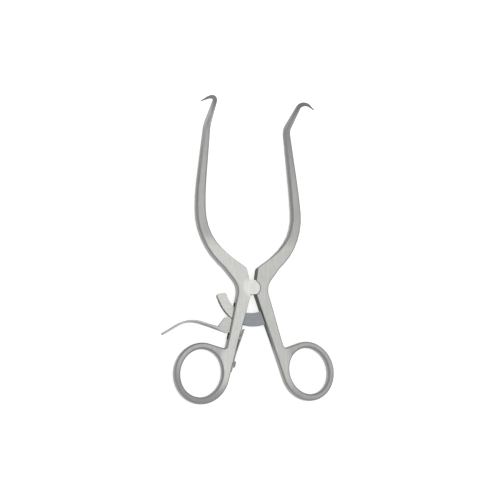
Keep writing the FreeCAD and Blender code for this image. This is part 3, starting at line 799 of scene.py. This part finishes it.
        # All posts stand on the pivot, because the wedge keeps its own distance from it
        posts = add(tree, "GeometryNodeMeshLine",
                    {"Count": given["Tooth Count"], "Offset": (0.0, 0.0, 0.0)}, mode="OFFSET").outputs[0]
        spin = add(tree, "ShaderNodeCombineXYZ", {"Z": known["turn"]}).outputs[0]
        teeth = add(tree, "GeometryNodeInstanceOnPoints",
                    {"Points": posts, "Instance": wedge, "Rotation": spin}).outputs[0]
        whole = add(tree, "GeometryNodeJoinGeometry", {0: [strip, teeth]}).outputs[0]
        finished(tree, whole, given["Finish"])
        return tree

    def build(self) -> list[bpy.types.Object]:
        """Grows the bar and hangs it on the right side.

        Returns:
            The one piece.
        """
        piece = grown(self.tree(), "ratchet_bar_piece", self.sizes(), self.finish.build(),
                      self.sharp_degrees)
        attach(piece, Body.RIGHT.value)
        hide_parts("ratchet_bar")
        return [piece]


@dataclass
class ReleaseLever:
    """Pawl lever with its thumb piece."""

    sharp_degrees: float = 35.0
    # Painted shade: the lever's walls take the darker wall tone
    finish: StainlessSteel = StainlessSteel("satin_lever_stainless", ground="#b9bab7", wall="#767776",
                                            grain=Grain.CROSSWISE)

    def build(self) -> list[bpy.types.Object]:
        """Dresses the lever.

        Returns:
            The one piece.
        """
        lever = Dressed("release_lever", Body.LEVER, "bar_steel", self.sharp_degrees)
        return [lever.build(self.finish.build())]


@dataclass
class LeafSpring:
    """Tempered leaf on the left shank, and the slotted screw that holds it.

    Drops are measured down the shank's inner face from the pivot, heights off that face.
    """

    shank_lean: float = 17.1
    shank_offset_mm: float = 0.59
    mid_plane_mm: float = 2.8
    low_end_mm: float = 55.2
    bend_mm: float = 44.0
    free_end_mm: float = 27.0
    tail_mm: float = 33.4
    lift_mm: float = 1.45
    seat_mm: float = 0.2
    thickness_mm: float = 0.7
    width_mm: float = 3.2
    bend_round_mm: float = 60.0
    bend_steps: int = 8
    pieces: int = 48
    sharp_degrees: float = 40.0
    screw_sharp_degrees: float = 30.0
    # Painted shade: the leaf's edges and walls take darker edge and wall tones
    finish: StainlessSteel = StainlessSteel("tempered_spring_stainless", ground="#a2a2a0", edge="#8b8b8a",
                                            wall="#777777", roughness=0.25)
    # Painted shade: the screw's steel is darker, for the shade round its slotted head
    screw: TurnedSteel = TurnedSteel("turned_screw_stainless", ground="#8f8f8d", roughness=0.25)

    def sizes(self) -> dict[str, float | int]:
        """Gathers the values of the tree's inputs; heights are those of the mid-line.

        Returns:
            Input name to its value, in metres.
        """
        half = self.thickness_mm / 2
        return {
            "Low End": self.low_end_mm * MM,
            "Bend": self.bend_mm * MM,
            "Free End": self.free_end_mm * MM,
            "Seat Height": (half - self.seat_mm) * MM,
            "Free Height": (half + self.lift_mm) * MM,
            "Thickness": self.thickness_mm * MM,
            "Width": self.width_mm * MM,
            "Bend Round": self.bend_round_mm * MM,
            "Pieces": self.pieces,
        }

    def on_shank(self, drop_mm: float, height_mm: float) -> Vector:
        """Place on the left shank, in metres.

        Args:
            drop_mm: Distance down the inner face from the pivot.
            height_mm: Distance off the inner face.

        Returns:
            The point in the mid-plane.
        """
        lean = math.radians(self.shank_lean)
        down = Vector((-math.sin(lean), -math.cos(lean), 0.0))
        inward = Vector((math.cos(lean), -math.sin(lean), 0.0))
        foot = inward * -self.shank_offset_mm + Vector((0.0, 0.0, self.mid_plane_mm))
        return (foot + down * drop_mm + inward * height_mm) * MM

    def tree(self) -> bpy.types.GeometryNodeTree:
        """Builds the tree that sweeps the leaf along its bent mid-line.

        Returns:
            A tree with the leaf's sizes as inputs.
        """
        tree = new_tree("leaf_spring_growth", self.sizes())
        given = add(tree, "NodeGroupInput").outputs
        stations = (("Low End", "Seat Height"), ("Bend", "Seat Height"), ("Free End", "Free Height"))
        spots = [add(tree, "ShaderNodeCombineXYZ", {"X": given[drop], "Y": given[height]}).outputs[0]
                 for drop, height in stations]
        number = add(tree, "GeometryNodeInputIndex").outputs[0]
        # Each point of a line takes the station of its own number
        spot = spots[0]
        for passed, station in enumerate(spots[1:]):
            beyond = add(tree, "ShaderNodeMath", {0: number, 1: passed + 0.5},
                         operation="GREATER_THAN").outputs[0]
            spot = add(tree, "ShaderNodeMix", {"Factor": beyond, 4: spot, 5: station},
                       data_type="VECTOR").outputs[1]
        line = add(tree, "GeometryNodeMeshLine", {"Count": len(stations)}).outputs[0]
        bent = add(tree, "GeometryNodeSetPosition", {"Geometry": line, "Position": spot}).outputs[0]
        path = add(tree, "GeometryNodeMeshToCurve", {0: bent}).outputs[0]
        eased = add(tree, "GeometryNodeFilletCurve",
                    {"Curve": path, "Radius": given["Bend Round"], "Count": self.bend_steps,
                     "Limit Radius": True}, mode="POLY").outputs[0]
        even = add(tree, "GeometryNodeResampleCurve", {"Curve": eased, "Count": given["Pieces"]}).outputs[0]
        upright = add(tree, "GeometryNodeSetCurveNormal", {"Curve": even}, mode="Z_UP").outputs[0]
        blank = add(tree, "GeometryNodeCurvePrimitiveQuadrilateral",
                    {"Width": given["Thickness"], "Height": given["Width"]}, mode="RECTANGLE").outputs[0]
        swept = add(tree, "GeometryNodeCurveToMesh",
                    {"Curve": upright, "Profile Curve": blank, "Fill Caps": True}).outputs[0]
        finished(tree, swept, given["Finish"])
        return tree

    def build(self) -> list[bpy.types.Object]:
        """Sweeps the leaf and dresses its screw.

        Returns:
            The leaf and the screw.
        """
        leaf = grown(self.tree(), "leaf_spring_piece", self.sizes(), self.finish.build(),
                     self.sharp_degrees)
        # The tree works in the shank's own directions: X down its inner face, Y off it
        turn = Matrix.Rotation(math.radians(-90.0 - self.shank_lean), 4, "Z")
        leaf.data.transform(Matrix.Translation(self.on_shank(0.0, 0.0)) @ turn)
        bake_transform(leaf)
        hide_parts("leaf_spring")
        screw = Dressed("spring_screw", Body.LEFT, "turned_steel", self.screw_sharp_degrees)
        return [leaf, screw.build(self.screw.build())]


@dataclass
class Studio:
    """White sweep, one soft box overhead and the camera at the photograph's viewpoint."""

    # Camera fitted to the outline in the photograph
    position_mm: tuple[float, float, float] = (-248.75, -90.13, 618.17)
    right: tuple[float, float, float] = (0.92908, -0.04264, 0.36743)
    up: tuple[float, float, float] = (-0.02358, 0.98448, 0.17388)
    back: tuple[float, float, float] = (-0.36914, -0.17021, 0.91366)
    lens_mm: float = 76.15
    sensor_mm: float = 36.0
    nearest_mm: float = 10.0
    # Soft box and floor, in metres
    box_place: tuple[float, float, float] = (0.36, 0.22, 1.15)
    box_aim: tuple[float, float, float] = (0.0, 0.02, 0.0)
    box_side: float = 0.8
    box_watts: float = 0.4
    floor_half: float = 3.0
    floor_drop_mm: float = 0.02
    floor_colour: str = "#ececec"
    # Strength of the room as a light, and what the floor adds where it is seen itself
    room_light: float = 0.8
    floor_lift: float = 0.6

    def camera(self) -> None:
        """Places the camera."""
        data = bpy.data.cameras.new("photo_camera")
        data.lens = self.lens_mm
        data.sensor_width = self.sensor_mm
        data.sensor_fit = "HORIZONTAL"
        data.clip_start = self.nearest_mm * MM
        eye = bpy.data.objects.new("photo_camera", data)
        turn = Matrix((self.right, self.up, self.back)).transposed().to_4x4()
        eye.matrix_world = Matrix.Translation(Vector(self.position_mm) * MM) @ turn
        bpy.context.scene.collection.objects.link(eye)
        bpy.context.scene.camera = eye

    def overhead_box(self) -> None:
        """Hangs the soft box over the instrument."""
        data = bpy.data.lights.new("overhead_box", "AREA")
        data.shape = "SQUARE"
        data.size = self.box_side
        data.energy = self.box_watts
        lamp = bpy.data.objects.new("overhead_box", data)
        lamp.location = self.box_place
        aim = Vector(self.box_aim) - Vector(self.box_place)
        lamp.rotation_euler = aim.to_track_quat("-Z", "Y").to_euler()
        bpy.context.scene.collection.objects.link(lamp)

    def seen(self, tree: bpy.types.NodeTree) -> bpy.types.NodeSocket:
        """Tells the rays that show the background itself, from the camera or by way of metal or glass.

        Args:
            tree: Tree of the world or the floor.

        Returns:
            Socket that is 1 for such rays and 0 for those that light the object.
        """
        ray = add(tree, "ShaderNodeLightPath").outputs
        direct = add(tree, "ShaderNodeMath", {0: ray["Is Camera Ray"], 1: ray["Is Glossy Ray"]},
                     operation="ADD").outputs[0]
        return add(tree, "ShaderNodeMath", {0: direct, 1: ray["Is Transmission Ray"]},
                   operation="ADD", use_clamp=True).outputs[0]

    def world(self) -> None:
        """Plain white room, a little dimmer as a light than it looks."""
        room = bpy.data.worlds.new("pale_room")
        room.use_nodes = True
        tree = room.node_tree
        tree.nodes.clear()
        strength = add(tree, "ShaderNodeMath",
                       {0: self.seen(tree), 1: 1.0 - self.room_light, 2: self.room_light},
                       operation="MULTIPLY_ADD").outputs[0]
        glow = add(tree, "ShaderNodeBackground",
                   {"Color": linear("#ffffff"), "Strength": strength}).outputs[0]
        add(tree, "ShaderNodeOutputWorld", {"Surface": glow})
        bpy.context.scene.world = room

    def floor(self) -> None:
        """White sweep under the instrument; it keeps the shadow."""
        material = bpy.data.materials.new("white_sweep")
        material.use_nodes = True
        tree = material.node_tree
        tree.nodes.clear()
        matt = add(tree, "ShaderNodeBsdfDiffuse", {"Color": linear(self.floor_colour)}).outputs[0]
        strength = add(tree, "ShaderNodeMath", {0: self.seen(tree), 1: self.floor_lift},
                       operation="MULTIPLY").outputs[0]
        glow = add(tree, "ShaderNodeEmission", {"Color": linear("#ffffff"), "Strength": strength}).outputs[0]
        both = add(tree, "ShaderNodeAddShader", {0: matt, 1: glow}).outputs[0]
        add(tree, "ShaderNodeOutputMaterial", {"Surface": both})
        half, drop = self.floor_half, self.floor_drop_mm * MM
        corners = [(-half, -half, -drop), (half, -half, -drop), (half, half, -drop), (-half, half, -drop)]
        mesh = bpy.data.meshes.new("sweep")
        mesh.from_pydata(corners, [], [(0, 1, 2, 3)])
        mesh.materials.append(material)
        sweep = bpy.data.objects.new("sweep", mesh)
        bpy.context.scene.collection.objects.link(sweep)

    def build(self) -> None:
        """Sets up the camera, the light and the sweep."""
        bpy.context.scene.view_settings.view_transform = "Standard"
        self.camera()
        self.world()
        self.floor()
        self.overhead_box()


def main() -> None:
    """Builds the instrument piece by piece, then the studio."""
    logging.basicConfig(level=logging.INFO, format="%(name)s: %(message)s")
    for assembly in (Arms(), Pins(), RatchetBar(), ReleaseLever(), LeafSpring()):
        made = assembly.build()
        LOG.info("%s: %s", type(assembly).__name__, ", ".join(piece.name for piece in made))
    Studio().build()


if __name__ == "__main__":
    main()
